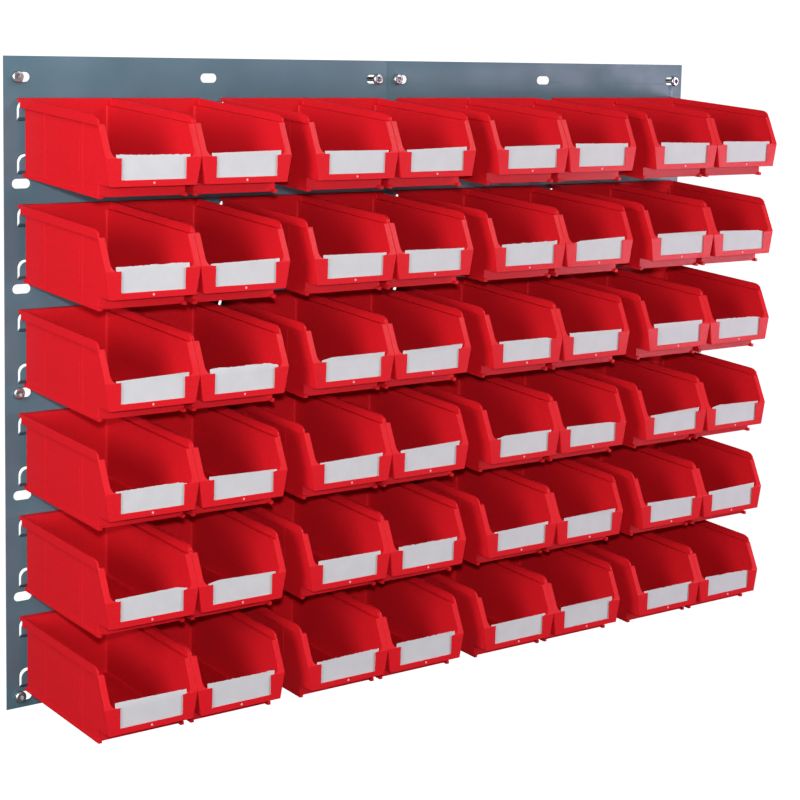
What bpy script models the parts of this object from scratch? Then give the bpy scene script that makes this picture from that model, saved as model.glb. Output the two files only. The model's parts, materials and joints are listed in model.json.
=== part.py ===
"""Wall-mounted louvred panels with hanging parts bins.

Two pressed steel panels stand side by side on a wall. Each panel has twelve
rows of lanced louvres. Moulded bins hook over the louvres in six rows of
eight, and cap screws through slots in the panels' edges hold them to the wall.

Frame: metres, +Z up. The origin is on the wall plane, where the seam between
the panels meets mid-height. The bins face -Y and the wall is towards +Y.
"""

import math

import bmesh
import bpy
from mathutils import Matrix, Vector

MM = 0.001
GAP = 0.3 * MM                      # running gap between neighbouring pieces

# Panels
PANEL_WIDTH = 457.0 * MM
PANEL_HEIGHT = 641.0 * MM
SHEET = 1.2 * MM                    # steel thickness

# Grid of louvres and bins
ROWS = 6
PAIRS_PER_PANEL = 2
BINS_PER_PAIR = 2
ROW_PITCH = 101.6 * MM
PAIR_PITCH = PANEL_WIDTH / PAIRS_PER_PANEL
BIN_PITCH = 100.3 * MM              # two bins on one louvre
HOOK_BELOW_EDGE = 40.0 * MM         # top bins' rim under the panel's top edge

# Louvres: tongues lanced on three sides and pressed forward
LOUVRES_PER_ROW = 2                 # one above the other within a row pitch
LOUVRE_PITCH = ROW_PITCH / LOUVRES_PER_ROW
LOUVRE_LENGTH = 199.5 * MM
LOUVRE_HEIGHT = 16.5 * MM
LOUVRE_RAMP = 3.0 * MM              # height of the joggle at its foot
LOUVRE_BACK = 3.7 * MM              # wall plane to the tongue's rear face
LOUVRE_CORNER = 7.0 * MM
LOUVRE_SIDE_SLIT = 0.6 * MM
LOUVRE_TOP_SLIT = 1.6 * MM
LOUVRE_ROOT = 1.0 * MM              # tongue's root inside the sheet
CORNER_STEPS = 2

# Fixing slots and cap screws
SLOT_LENGTH = 19.3 * MM
SLOT_HEIGHT = 9.2 * MM
SLOT_INSET = 18.0 * MM              # slot centre to the panel's side edge
SLOT_BELOW_EDGE = 20.0 * MM
SLOT_ROWS = ROWS + 1
SLOT_END_STEPS = 3
SCREW_INSET = 13.8 * MM
SCREW_HEAD_RADIUS = 6.0 * MM
SCREW_HEAD_HEIGHT = 4.2 * MM
SCREW_SHANK_RADIUS = 2.5 * MM
SCREW_REACH = 25.0 * MM             # thread beyond the wall plane
SCREW_POINT = 4.0 * MM
SCREW_CROWN_RADIUS = 3.3 * MM       # flat of the head, inside its dome
SCREW_SHOULDER_RADIUS = 5.3 * MM
SCREW_SHOULDER_DROP = 0.9 * MM
SCREW_DOME_DROP = 2.4 * MM
SCREW_STEPS = 12
SOCKET_RADIUS = 2.4 * MM
SOCKET_DEPTH = 2.4 * MM

# Bin, measured from the wall plane and from its own underside. The rear wall
# hangs upright, and the floor and rim fall towards the nose.
BIN_SLOPE = math.tan(math.radians(4.0))
BIN_DEPTH = 165.0 * MM
BIN_HEIGHT = 75.0 * MM
RIM_WIDTH = 100.0 * MM
BODY_WIDTH = 91.0 * MM
WALL = 2.0 * MM
BIN_REAR = 6.5 * MM                 # wall plane to the rear wall
NOSE = BIN_REAR + BIN_DEPTH
NOSE_HEIGHT = 39.0 * MM
APRON_HEIGHT = 13.0 * MM            # underside of the front panel
APRON_SETBACK = 0.5 * MM            # lean of the front panel
SKIRT_SETBACK = 21.4 * MM           # skirt behind the nose
LEDGE_TOP = 68.0 * MM               # stacking ledge inside the rim
LEDGE = 2.0 * MM                    # its thickness, and the front flange's
CORNER_SETBACK = 13.5 * MM          # ledge's front corner behind the nose
CORNER_LENGTH = 10.0 * MM           # rounding of the rim's front end
CORNER_RISE = 6.0 * MM
FRONT_THICKNESS = 3.6 * MM
FLOOR_LIFT = 1.0 * MM               # floor above the rails' underside
RAIL_WIDTH = 4.0 * MM
RAIL_HEIGHT = 3.5 * MM
RAIL_PROUD = 1.0 * MM
RAIL_OVERHANG = 1.3 * MM            # rail beyond the rear wall
RAIL_NOSE = 2.6 * MM                # rail beyond the skirt
HOOK_BACK = 1.5 * MM                # wall plane to the hook's rear
HOOK_PLATE = 4.0 * MM
HOOK_LIP = 1.9 * MM
HOOK_LIP_WIDTH = 84.0 * MM
HOOK_DROP = 10.0 * MM

# Label holder in the front panel
WINDOW_WIDTH = 67.5 * MM
WINDOW_SILL = 19.0 * MM
CARD_SLOT_WIDTH = 78.0 * MM
CARD_SLOT_SILL = 17.5 * MM
FRAME_THICKNESS = 1.2 * MM
CARD_SLOT = 0.9 * MM

BIN_RED = (0.84, 0.013, 0.018, 1.0)
PANEL_GREY = (0.10, 0.16, 0.20, 1.0)
SCREW_STEEL = (0.56, 0.56, 0.58, 1.0)

OVERRUN = 10.0 * MM                 # how far a cutter passes through
FLAT_ANGLE = math.radians(0.1)


def clear_scene():
    for scene_object in list(bpy.data.objects):
        bpy.data.objects.remove(scene_object, do_unlink=True)


def new_collection(name):
    collection = bpy.data.collections.new(name)
    bpy.context.scene.collection.children.link(collection)
    return collection


def principled(name, colour, roughness, metallic):
    material = bpy.data.materials.new(name)
    material.use_nodes = True
    shader = material.node_tree.nodes["Principled BSDF"]
    shader.inputs["Base Color"].default_value = colour
    shader.inputs["Roughness"].default_value = roughness
    shader.inputs["Metallic"].default_value = metallic
    material.diffuse_color = colour
    return material


def evaluated_mesh(scene_object):
    """The object's mesh with its modifiers, welded where curve caps meet."""
    graph = bpy.context.evaluated_depsgraph_get()
    mesh = bpy.data.meshes.new_from_object(scene_object.evaluated_get(graph))
    cage = bmesh.new()
    cage.from_mesh(mesh)
    bmesh.ops.remove_doubles(cage, verts=cage.verts, dist=0.00001)
    cage.to_mesh(mesh)
    cage.free()
    return mesh


# Side profiles lie in a plane of (distance from the wall, height); front
# outlines lie in a plane of (across, height).
SIDE = Matrix(((0, 0, -1, 0), (-1, 0, 0, 0), (0, 1, 0, 0), (0, 0, 0, 1)))
FRONT = Matrix(((1, 0, 0, 0), (0, 0, -1, 0), (0, 1, 0, 0), (0, 0, 0, 1)))


def flat_mesh(name, loops, thickness, plane, place=Matrix.Identity(4)):
    """A flat outline with holes, extruded about its middle plane."""
    curve = bpy.data.curves.new(name, "CURVE")
    curve.dimensions = "2D"
    curve.fill_mode = "BOTH"
    curve.extrude = thickness / 2
    for loop in loops:
        spline = curve.splines.new("POLY")
        spline.points.add(len(loop) - 1)
        for point, (across, up) in zip(spline.points, loop):
            point.co = (across, up, 0, 1)
        spline.use_cyclic_u = True
    flat = bpy.data.objects.new(name, curve)
    bpy.context.scene.collection.objects.link(flat)
    mesh = evaluated_mesh(flat)
    bpy.data.objects.remove(flat)
    mesh.transform(place @ plane)
    return mesh


def tool_object(name, mesh, collection):
    """A solid that only takes part in a Boolean."""
    tool = bpy.data.objects.new(name, mesh)
    tool.hide_render = True
    tool.display_type = "WIRE"
    collection.objects.link(tool)
    return tool


def add_boolean(target, tool, operation):
    modifier = target.modifiers.new(tool.name, "BOOLEAN")
    modifier.object = tool
    modifier.operation = operation
    modifier.solver = "EXACT"


def baked(name, mesh, steps, material, collection):
    """Run Boolean steps of (name, operation, mesh) on a mesh, and merge its flat faces."""
    base = tool_object(name + "_base", mesh, collection)
    for step_name, operation, step_mesh in steps:
        tool = tool_object(f"{name}_{step_name}", step_mesh, collection)
        add_boolean(base, tool, operation)
    result = evaluated_mesh(base)
    cage = bmesh.new()
    cage.from_mesh(result)
    bmesh.ops.dissolve_limit(cage, angle_limit=FLAT_ANGLE, verts=cage.verts, edges=cage.edges)
    cage.to_mesh(result)
    cage.free()
    result.name = name
    result.materials.clear()
    result.materials.append(material)
    return result


def rectangle(left, right, low, high):
    return [(left, low), (right, low), (right, high), (left, high)]


def arc(centre_across, centre_up, radius, start, end, steps):
    """Points along an arc from one angle to another, in degrees."""
    points = []
    for step in range(steps + 1):
        angle = math.radians(start + (end - start) * step / steps)
        points.append((centre_across + radius * math.cos(angle), centre_up + radius * math.sin(angle)))
    return points


def round_topped(left, right, low, high, radius):
    """A rectangle whose two top corners are rounded."""
    top = high - radius
    right_corner = arc(right - radius, top, radius, 0, 90, CORNER_STEPS)
    left_corner = arc(left + radius, top, radius, 90, 180, CORNER_STEPS)
    return [(left, low), (right, low)] + right_corner + left_corner


def slot(centre_across, centre_up):
    """A horizontal slot with round ends."""
    radius = SLOT_HEIGHT / 2
    reach = SLOT_LENGTH / 2 - radius
    right_end = arc(centre_across + reach, centre_up, radius, -90, 90, SLOT_END_STEPS)
    left_end = arc(centre_across - reach, centre_up, radius, 90, 270, SLOT_END_STEPS)
    return right_end + left_end


def pair_centres():
    """Louvre centres across a panel, from the panel's left edge."""
    return [PAIR_PITCH * (pair + 0.5) for pair in range(PAIRS_PER_PANEL)]


def louvre_tops():
    """Heights of the louvres' top edges, from mid-height."""
    first = PANEL_HEIGHT / 2 - HOOK_BELOW_EDGE - HOOK_PLATE - GAP
    return [first - LOUVRE_PITCH * level for level in range(ROWS * LOUVRES_PER_ROW)]


def slot_heights():
    first = PANEL_HEIGHT / 2 - SLOT_BELOW_EDGE
    return [first - ROW_PITCH * level for level in range(SLOT_ROWS)]


def slot_centres():
    """Fixing slots of one panel: both side edges, and mid-width top and bottom."""
    heights = slot_heights()
    centres = []
    for height in heights:
        centres.append((SLOT_INSET, height))
        centres.append((PANEL_WIDTH - SLOT_INSET, height))
    centres.append((PANEL_WIDTH / 2, heights[0]))
    centres.append((PANEL_WIDTH / 2, heights[-1]))
    return centres


def louvre_mesh(centre_across, top):
    """One tongue: a round-cornered plate whose foot ramps back into the sheet."""
    foot = top - LOUVRE_HEIGHT
    outline = round_topped(centre_across - LOUVRE_LENGTH / 2, centre_across + LOUVRE_LENGTH / 2,
                           foot - LOUVRE_ROOT, top, LOUVRE_CORNER)
    mesh = flat_mesh("louvre", [outline], 0.0, FRONT)
    cage = bmesh.new()
    cage.from_mesh(mesh)
    bend = foot + LOUVRE_RAMP
    geometry = cage.verts[:] + cage.edges[:] + cage.faces[:]
    bmesh.ops.bisect_plane(cage, geom=geometry, plane_co=(0, 0, bend), plane_no=(0, 0, 1))
    for vertex in cage.verts:
        at_root = vertex.co.z < foot
        vertex.co.y = -SHEET / 2 if at_root else -LOUVRE_BACK - SHEET / 2
    bmesh.ops.recalc_face_normals(cage, faces=cage.faces)
    cage.to_mesh(mesh)
    cage.free()
    return mesh


def thickened(mesh, thickness):
    """A sheet given its thickness, equally to both sides."""
    sheet = bpy.data.objects.new(mesh.name, mesh)
    bpy.context.scene.collection.objects.link(sheet)
    modifier = sheet.modifiers.new("thickness", "SOLIDIFY")
    modifier.thickness = thickness
    modifier.offset = 0
    modifier.use_even_offset = True
    result = evaluated_mesh(sheet)
    bpy.data.objects.remove(sheet)
    return result


def joined(meshes, name):
    """Separate solids gathered in one mesh, for one Boolean."""
    cage = bmesh.new()
    for mesh in meshes:
        cage.from_mesh(mesh)
    result = bpy.data.meshes.new(name)
    cage.to_mesh(result)
    cage.free()
    return result


def panel_mesh(material, cutters):
    """One panel from its left edge, with its back face on the wall plane."""
    loops = [rectangle(0, PANEL_WIDTH - GAP / 2, -PANEL_HEIGHT / 2, PANEL_HEIGHT / 2)]
    tongues = []
    for centre in pair_centres():
        left = centre - LOUVRE_LENGTH / 2 - LOUVRE_SIDE_SLIT
        right = centre + LOUVRE_LENGTH / 2 + LOUVRE_SIDE_SLIT
        for top in louvre_tops():
            loops.append(round_topped(left, right, top - LOUVRE_HEIGHT, top + LOUVRE_TOP_SLIT, LOUVRE_CORNER))
            tongues.append(thickened(louvre_mesh(centre, top), SHEET))
    for across, up in slot_centres():
        loops.append(slot(across, up))
    sheet = flat_mesh("sheet", loops, SHEET, FRONT, Matrix.Translation((0, -SHEET / 2, 0)))
    return baked("panel", sheet, [("tongues", "UNION", joined(tongues, "tongues"))], material, cutters)


def bin_side_profile():
    """The walls' outline from the side, nose forward, up to the ledge."""
    skirt = NOSE - SKIRT_SETBACK
    inset = LEDGE / 2
    return [(BIN_REAR, FLOOR_LIFT), (skirt, FLOOR_LIFT), (skirt, APRON_HEIGHT),
            (NOSE - APRON_SETBACK - inset, APRON_HEIGHT), (NOSE - inset, NOSE_HEIGHT),
            (NOSE - CORNER_SETBACK - inset, LEDGE_TOP - inset), (BIN_REAR, LEDGE_TOP - inset)]


def bin_hollow_profile():
    """The hollow's outline from the side: open above, and forward over the nose."""
    skirt = NOSE - SKIRT_SETBACK - WALL
    floor = FLOOR_LIFT + WALL
    step = APRON_HEIGHT + WALL
    return [(BIN_REAR + WALL, floor), (skirt, floor), (skirt, step),
            (NOSE - APRON_SETBACK - FRONT_THICKNESS, step), (NOSE - FRONT_THICKNESS, NOSE_HEIGHT),
            (NOSE + OVERRUN, NOSE_HEIGHT), (NOSE + OVERRUN, BIN_HEIGHT + OVERRUN),
            (BIN_REAR + WALL, BIN_HEIGHT + OVERRUN)]


def rim_profile():
    """The rim from the side: an upright band on a ledge that turns down to the nose."""
    corner = NOSE - CORNER_SETBACK
    under = LEDGE_TOP - LEDGE
    rounding = []
    for step in range(CORNER_STEPS + 1):
        angle = math.radians(90 * step / CORNER_STEPS)
        rounding.append((corner - LEDGE / 2 - CORNER_LENGTH * (1 - math.cos(angle)),
                         BIN_HEIGHT - CORNER_RISE * (1 - math.sin(angle))))
    return [(BIN_REAR, under), (corner - LEDGE, under), (NOSE - LEDGE, NOSE_HEIGHT), (NOSE, NOSE_HEIGHT),
            (corner, LEDGE_TOP)] + rounding + [(BIN_REAR, BIN_HEIGHT)]


def rim_seat_mesh():
    """The space between the rim's bands, above the ledge."""
    profile = rectangle(BIN_REAR + WALL, NOSE + OVERRUN, LEDGE_TOP, BIN_HEIGHT + OVERRUN)
    return flat_mesh("seat", [profile], RIM_WIDTH - 2 * WALL, SIDE)


def front_panel_mesh():
    """The front panel: full rim width at the nose, body width at its foot."""
    foot = NOSE - APRON_SETBACK
    profile = [(foot - FRONT_THICKNESS, APRON_HEIGHT), (foot, APRON_HEIGHT), (NOSE, NOSE_HEIGHT),
               (NOSE - FRONT_THICKNESS, NOSE_HEIGHT)]
    mesh = flat_mesh("front_panel", [profile], RIM_WIDTH, SIDE)
    for vertex in mesh.vertices:
        if vertex.co.z < NOSE_HEIGHT / 2:
            vertex.co.x *= BODY_WIDTH / RIM_WIDTH
    return mesh


def hook_mesh():
    """The rear wall's head, with a plate back from it that rests on the louvre."""
    under = BIN_HEIGHT - HOOK_PLATE
    head = LEDGE_TOP - LEDGE
    profile = [(HOOK_BACK, under), (BIN_REAR, under), (BIN_REAR, head), (BIN_REAR + WALL, head),
               (BIN_REAR + WALL, BIN_HEIGHT), (HOOK_BACK, BIN_HEIGHT)]
    return flat_mesh("hook", [profile], RIM_WIDTH, SIDE)


def lip_mesh():
    """The lip under the hook's plate, down behind the louvre."""
    profile = rectangle(HOOK_BACK, HOOK_BACK + HOOK_LIP, BIN_HEIGHT - HOOK_DROP, BIN_HEIGHT - HOOK_PLATE / 2)
    return flat_mesh("lip", [profile], HOOK_LIP_WIDTH, SIDE)


def rail_mesh(side):
    """One runner under the bin's side, proud of it all along."""
    profile = rectangle(BIN_REAR - RAIL_OVERHANG, NOSE - SKIRT_SETBACK + RAIL_NOSE, 0, RAIL_HEIGHT)
    middle = side * (BODY_WIDTH / 2 + RAIL_PROUD - RAIL_WIDTH / 2)
    return flat_mesh("rail", [profile], RAIL_WIDTH, SIDE, Matrix.Translation((middle, 0, 0)))


def label_cutter(width, sill, front, back):
    """A leaning slab parallel to the front panel, open at its top."""
    rise = NOSE_HEIGHT - APRON_HEIGHT

    def lean(depth, height):
        return (NOSE - depth - APRON_SETBACK * (NOSE_HEIGHT - height) / rise, height)

    top = NOSE_HEIGHT + OVERRUN
    profile = [lean(back, sill), lean(front, sill), lean(front, top), lean(back, top)]
    return flat_mesh("label_cutter", [profile], width, SIDE)


def bin_mesh(material, cutters):
    """One bin about its own middle, with the wall plane at y = 0.

    It is built level, and then its floor and rim are sloped.
    """
    body = flat_mesh("body", [bin_side_profile()], BODY_WIDTH, SIDE)
    steps = [
        ("rim", "UNION", flat_mesh("rim", [rim_profile()], RIM_WIDTH, SIDE)),
        ("front", "UNION", front_panel_mesh()),
        ("hook", "UNION", hook_mesh()),
        ("lip", "UNION", lip_mesh()),
        ("rail_left", "UNION", rail_mesh(-1)),
        ("rail_right", "UNION", rail_mesh(1)),
        ("hollow", "DIFFERENCE", flat_mesh("hollow", [bin_hollow_profile()], BODY_WIDTH - 2 * WALL, SIDE)),
        ("seat", "DIFFERENCE", rim_seat_mesh()),
        ("window", "DIFFERENCE", label_cutter(WINDOW_WIDTH, WINDOW_SILL, -OVERRUN, FRAME_THICKNESS)),
        ("card_slot", "DIFFERENCE",
         label_cutter(CARD_SLOT_WIDTH, CARD_SLOT_SILL, FRAME_THICKNESS - GAP, FRAME_THICKNESS + CARD_SLOT)),
    ]
    mesh = baked("bin", body, steps, material, cutters)
    for vertex in mesh.vertices:
        vertex.co.z -= (-vertex.co.y - BIN_REAR) * BIN_SLOPE
    return mesh


def screw_mesh(material, cutters):
    """A cap screw on the Y axis, with its head in front and a hexagon socket."""
    under_head = -SHEET - GAP
    crown = under_head - SCREW_HEAD_HEIGHT
    # Radius and distance along the screw, from the crown to the point.
    profile = [(0, crown), (SCREW_CROWN_RADIUS, crown), (SCREW_SHOULDER_RADIUS, crown + SCREW_SHOULDER_DROP),
               (SCREW_HEAD_RADIUS, crown + SCREW_DOME_DROP), (SCREW_HEAD_RADIUS, under_head),
               (SCREW_SHANK_RADIUS, under_head), (SCREW_SHANK_RADIUS, SCREW_REACH - SCREW_POINT),
               (0, SCREW_REACH)]
    mesh = bpy.data.meshes.new("screw_profile")
    vertices = [(radius, along, 0) for radius, along in profile]
    edges = [(index, index + 1) for index in range(len(profile) - 1)]
    mesh.from_pydata(vertices, edges, [])
    turned = bpy.data.objects.new("screw_turned", mesh)
    bpy.context.scene.collection.objects.link(turned)
    modifier = turned.modifiers.new("turn", "SCREW")
    modifier.axis = "Y"
    modifier.steps = SCREW_STEPS
    modifier.render_steps = SCREW_STEPS
    modifier.use_merge_vertices = True
    modifier.merge_threshold = 0.00001
    solid = evaluated_mesh(turned)
    bpy.data.objects.remove(turned)
    cage = bmesh.new()
    cage.from_mesh(solid)
    bmesh.ops.recalc_face_normals(cage, faces=cage.faces)
    cage.to_mesh(solid)
    cage.free()
    socket = bmesh.new()
    bmesh.ops.create_cone(socket, cap_ends=True, segments=6, radius1=SOCKET_RADIUS, radius2=SOCKET_RADIUS,
                          depth=2 * SOCKET_DEPTH)
    socket_mesh = bpy.data.meshes.new("socket")
    socket.to_mesh(socket_mesh)
    socket.free()
    socket_mesh.transform(Matrix.Translation((0, crown, 0)) @ Matrix.Rotation(math.radians(90), 4, "X"))
    return baked("screw", solid, [("socket", "DIFFERENCE", socket_mesh)], material, cutters)


def place(name, mesh, location, collection):
    piece = bpy.data.objects.new(name, mesh)
    piece.location = location
    collection.objects.link(piece)
    return piece


def add_panels(mesh, collection):
    """The right panel is the left one mirrored about the seam."""
    place("panel_left", mesh, (-PANEL_WIDTH, 0, 0), collection)
    mirrored = mesh.copy()
    mirrored.transform(Matrix.Scale(-1, 4, Vector((1, 0, 0))))
    mirrored.flip_normals()
    place("panel_right", mirrored, (PANEL_WIDTH, 0, 0), collection)


def add_screws(mesh, collection):
    """Corners of each panel, and the middle of each outer edge."""
    heights = slot_heights()
    top = heights[0]
    middle = heights[SLOT_ROWS // 2]
    bottom = heights[-1]
    outer = PANEL_WIDTH - SCREW_INSET
    for side_name, side in (("left", -1), ("right", 1)):
        places = {
            "outer_top": (outer, top),
            "outer_middle": (outer, middle),
            "outer_bottom": (outer, bottom),
            "seam_top": (SCREW_INSET, top),
            "seam_bottom": (SCREW_INSET, bottom),
        }
        for corner, (across, up) in places.items():
            place(f"screw_{side_name}_{corner}", mesh, (side * across, 0, up), collection)


def add_bins(mesh, collection):
    """Six rows of eight bins, hung in pairs on the upper louvre of each row."""
    pairs = PAIRS_PER_PANEL * 2
    for row in range(ROWS):
        underside = PANEL_HEIGHT / 2 - HOOK_BELOW_EDGE - BIN_HEIGHT - ROW_PITCH * row
        for pair in range(pairs):
            pair_centre = PAIR_PITCH * (pair + 0.5) - PANEL_WIDTH
            for place_in_pair in range(BINS_PER_PAIR):
                offset = (place_in_pair - (BINS_PER_PAIR - 1) / 2) * BIN_PITCH
                column = pair * BINS_PER_PAIR + place_in_pair
                place(f"bin_r{row + 1}c{column + 1}", mesh, (pair_centre + offset, 0, underside), collection)


def main():
    clear_scene()
    parts = new_collection("louvred_bin_panels")
    cutters = new_collection("cutters")
    red = principled("red_polypropylene", BIN_RED, 0.42, 0.0)
    grey = principled("grey_painted_steel", PANEL_GREY, 0.45, 0.0)
    steel = principled("screw_steel", SCREW_STEEL, 0.3, 1.0)
    add_panels(panel_mesh(grey, cutters), parts)
    add_screws(screw_mesh(steel, cutters), parts)
    add_bins(bin_mesh(red, cutters), parts)


main()
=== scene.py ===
"""Looks for the wall set of louvred panels and hanging parts bins.

Everything is in metres in the CAD model's frame: the panels' back faces are on
y = 0, the bins face -Y, and the seam between the panels is at x = 0. The sizes
below follow the CAD model's. The louvres' ramps and corners and the screws'
sockets are a little larger, and the roundings, the small mouldings and the
threads are only here.
"""

import json
import math
import random

import bmesh
import bpy
from mathutils import Matrix, Vector

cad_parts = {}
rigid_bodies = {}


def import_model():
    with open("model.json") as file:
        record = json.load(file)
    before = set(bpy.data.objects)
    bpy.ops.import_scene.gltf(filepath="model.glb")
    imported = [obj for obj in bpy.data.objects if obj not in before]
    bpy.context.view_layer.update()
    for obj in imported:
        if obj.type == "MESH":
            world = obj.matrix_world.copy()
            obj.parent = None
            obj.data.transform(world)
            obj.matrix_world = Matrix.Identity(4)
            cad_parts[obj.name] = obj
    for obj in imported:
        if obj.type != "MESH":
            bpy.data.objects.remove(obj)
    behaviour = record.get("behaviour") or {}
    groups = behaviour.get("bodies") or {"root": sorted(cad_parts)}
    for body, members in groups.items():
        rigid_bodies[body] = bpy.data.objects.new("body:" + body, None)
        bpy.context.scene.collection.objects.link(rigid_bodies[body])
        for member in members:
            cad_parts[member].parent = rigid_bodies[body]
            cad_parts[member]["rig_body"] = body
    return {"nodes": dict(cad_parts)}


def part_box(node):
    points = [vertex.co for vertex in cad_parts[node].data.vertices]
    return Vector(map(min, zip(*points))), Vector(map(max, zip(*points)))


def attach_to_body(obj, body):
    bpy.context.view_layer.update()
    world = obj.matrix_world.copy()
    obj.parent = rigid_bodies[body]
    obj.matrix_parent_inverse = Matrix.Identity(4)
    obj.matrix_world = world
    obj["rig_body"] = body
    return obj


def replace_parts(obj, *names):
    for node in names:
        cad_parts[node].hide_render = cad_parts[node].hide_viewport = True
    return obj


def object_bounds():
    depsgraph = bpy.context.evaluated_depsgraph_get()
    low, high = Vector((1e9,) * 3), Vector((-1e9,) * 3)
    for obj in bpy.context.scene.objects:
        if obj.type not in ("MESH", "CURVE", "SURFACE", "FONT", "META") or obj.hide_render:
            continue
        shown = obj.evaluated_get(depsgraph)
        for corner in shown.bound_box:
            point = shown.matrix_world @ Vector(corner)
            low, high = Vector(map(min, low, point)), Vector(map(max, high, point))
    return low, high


MM = 0.001
CURVE_STEPS = 8                     # segments in a rounded corner or a louvre's ramp

# Sheet and louvres
SHEET = 1.2 * MM
SEAM = 0.15 * MM                    # half the gap between the panels
HOOK_BELOW_EDGE = 40.0 * MM
ROWS = 6
PAIRS_PER_PANEL = 2
ROW_PITCH = 101.6 * MM
LOUVRE_PITCH = ROW_PITCH / 2
LOUVRE_LENGTH = 199.5 * MM
LOUVRE_HEIGHT = 16.5 * MM
LOUVRE_RAMP = 3.5 * MM
LOUVRE_BACK = 3.7 * MM
LOUVRE_CORNER = 7.5 * MM
LOUVRE_SIDE_SLIT = 0.6 * MM
LOUVRE_TOP_SLIT = 1.6 * MM
LOUVRE_BELOW_HOOK = 4.3 * MM
LOUVRE_ROOT = 1.0 * MM
SHEET_EDGE = 0.2 * MM
SHEET_EDGE_STEPS = 2

# Fixing slots and cap screws
SLOT_LENGTH = 19.3 * MM
SLOT_HEIGHT = 9.2 * MM
SLOT_INSET = 18.0 * MM
SLOT_BELOW_EDGE = 20.0 * MM
SLOT_ROWS = ROWS + 1
SLOT_STEPS = 12

# Bin, measured from the wall plane and from its own underside. The rear wall
# hangs upright, and the floor and rim fall towards the nose.
BIN_SLOPE = math.tan(math.radians(4.0))
NOSE = 171.5 * MM
BIN_REAR = 6.5 * MM
BIN_HEIGHT = 75.0 * MM
RIM_WIDTH = 100.0 * MM
BODY_WIDTH = 91.0 * MM
WALL = 2.0 * MM
NOSE_HEIGHT = 39.0 * MM
APRON_HEIGHT = 13.0 * MM
APRON_SETBACK = 0.5 * MM
SKIRT_SETBACK = 21.4 * MM
LEDGE_TOP = 68.0 * MM
LEDGE = 2.0 * MM
CORNER_SETBACK = 13.5 * MM
CORNER_LENGTH = 10.0 * MM
CORNER_RISE = 6.0 * MM
FRONT_THICKNESS = 3.6 * MM
FLOOR_LIFT = 1.0 * MM
RAIL_WIDTH = 4.0 * MM
RAIL_HEIGHT = 3.5 * MM
RAIL_PROUD = 1.0 * MM
RAIL_OVERHANG = 1.3 * MM
RAIL_NOSE = 2.6 * MM
HOOK_BACK = 1.5 * MM
HOOK_PLATE = 4.0 * MM
HOOK_LIP = 1.9 * MM
HOOK_LIP_WIDTH = 84.0 * MM
HOOK_DROP = 10.0 * MM
WINDOW_WIDTH = 67.5 * MM
WINDOW_SILL = 19.0 * MM
CARD_SLOT_WIDTH = 78.0 * MM
CARD_SLOT_SILL = 17.5 * MM
FRAME_THICKNESS = 1.2 * MM
CARD_SLOT = 0.9 * MM

# Mouldings on the bin's sides, and roundings
RIB_WIDTH = 4.0 * MM
RIB_PROUD = 0.3 * MM
RIB_PLACES = (46.0 * MM, 119.0 * MM)    # from the wall plane
PAD_LOW = 19.0 * MM
PAD_HIGH = 49.0 * MM
PAD_PROUD = 0.2 * MM
EDGE = 0.4 * MM
EDGE_STEPS = 3
REAR_RADIUS = 3.0 * MM
REAR_STEPS = 5
INNER_RADIUS = 2.5 * MM
INNER_STEPS = 4
GUSSET = 6.0 * MM                   # fillet between the flange and the nose
GATE_RADIUS = 0.8 * MM
GATE_HIGHLIGHT_REACH = 1.3 * MM               # how far the painted highlight reaches round the gate mark
GATE_HEIGHT = 16.2 * MM
OVERRUN = 10.0 * MM                 # how far a cutter passes through
SLOT_OVERLAP = 0.3 * MM
MOULDING_INSET = 0.1 * MM
MOULDING_ROUND = 0.6                # a low moulding's edge radius, as a share of its height
MOULDING_STEPS = 2
WELD = 0.005 * MM
FLAT_ANGLE = math.radians(0.1)
SHARP = math.radians(20)            # a bin's edge over this angle is rounded
EDGE_ANGLE = math.radians(60)       # and a louvre's over this one
SMOOTH_ANGLE = math.radians(50)     # shading is smooth up to this angle
NORMAL_WEIGHT = 80

# Screws
SCREW_GAP = 0.3 * MM
SCREW_HEAD_RADIUS = 6.0 * MM
SCREW_HEAD_HEIGHT = 4.2 * MM
SCREW_SHANK_RADIUS = 2.5 * MM
SCREW_REACH = 25.0 * MM
SOCKET_SIDES = 6
SOCKET_RADIUS = 3.0 * MM
SOCKET_DEPTH = 2.8 * MM
DOME_RADIUS = 2.0 * MM
THREAD_PITCH = 0.8 * MM
THREAD_DEPTH = 0.45 * MM
POINT_LENGTH = 4.0 * MM
POINT_SHARE = 0.6                   # how much of the thread's radius is left at the tip
SCREW_SEED = 11
TURN_STEPS = 48

# Label cards, each a little different
CARD_WIDTH = 77.0 * MM
CARD_THICKNESS = 0.35 * MM
CARD_COLUMNS = 36
CARD_ROWS = 8
CARD_FREE = 5.0 * MM                # the height over which the free edge curls
CARD_FOOT_GAP = 0.1 * MM
CARD_RISE = (1.5, 4.5)              # above the nose, and these to RAGGED_SIZE in millimetres
CARD_TILT = 1.2
CARD_BOW = 0.16
CARD_CURL = 1.0
WAVE_SIZE = 0.06
RAGGED_SIZE = 0.35
WAVES = 3                           # soft waves along a hand-cut edge
WAVE_COUNT = (2, 9)
WAVE_PHASE = (0, 6.3)
WAVE_STRETCH = 3
RAGGED_SHARE = 0.15                 # cards with a rough edge, and with a clipped corner
CLIPPED_SHARE = 0.15
CLIP_START = 0.7
CLIP_SLOPE = 8.0 * MM

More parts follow.
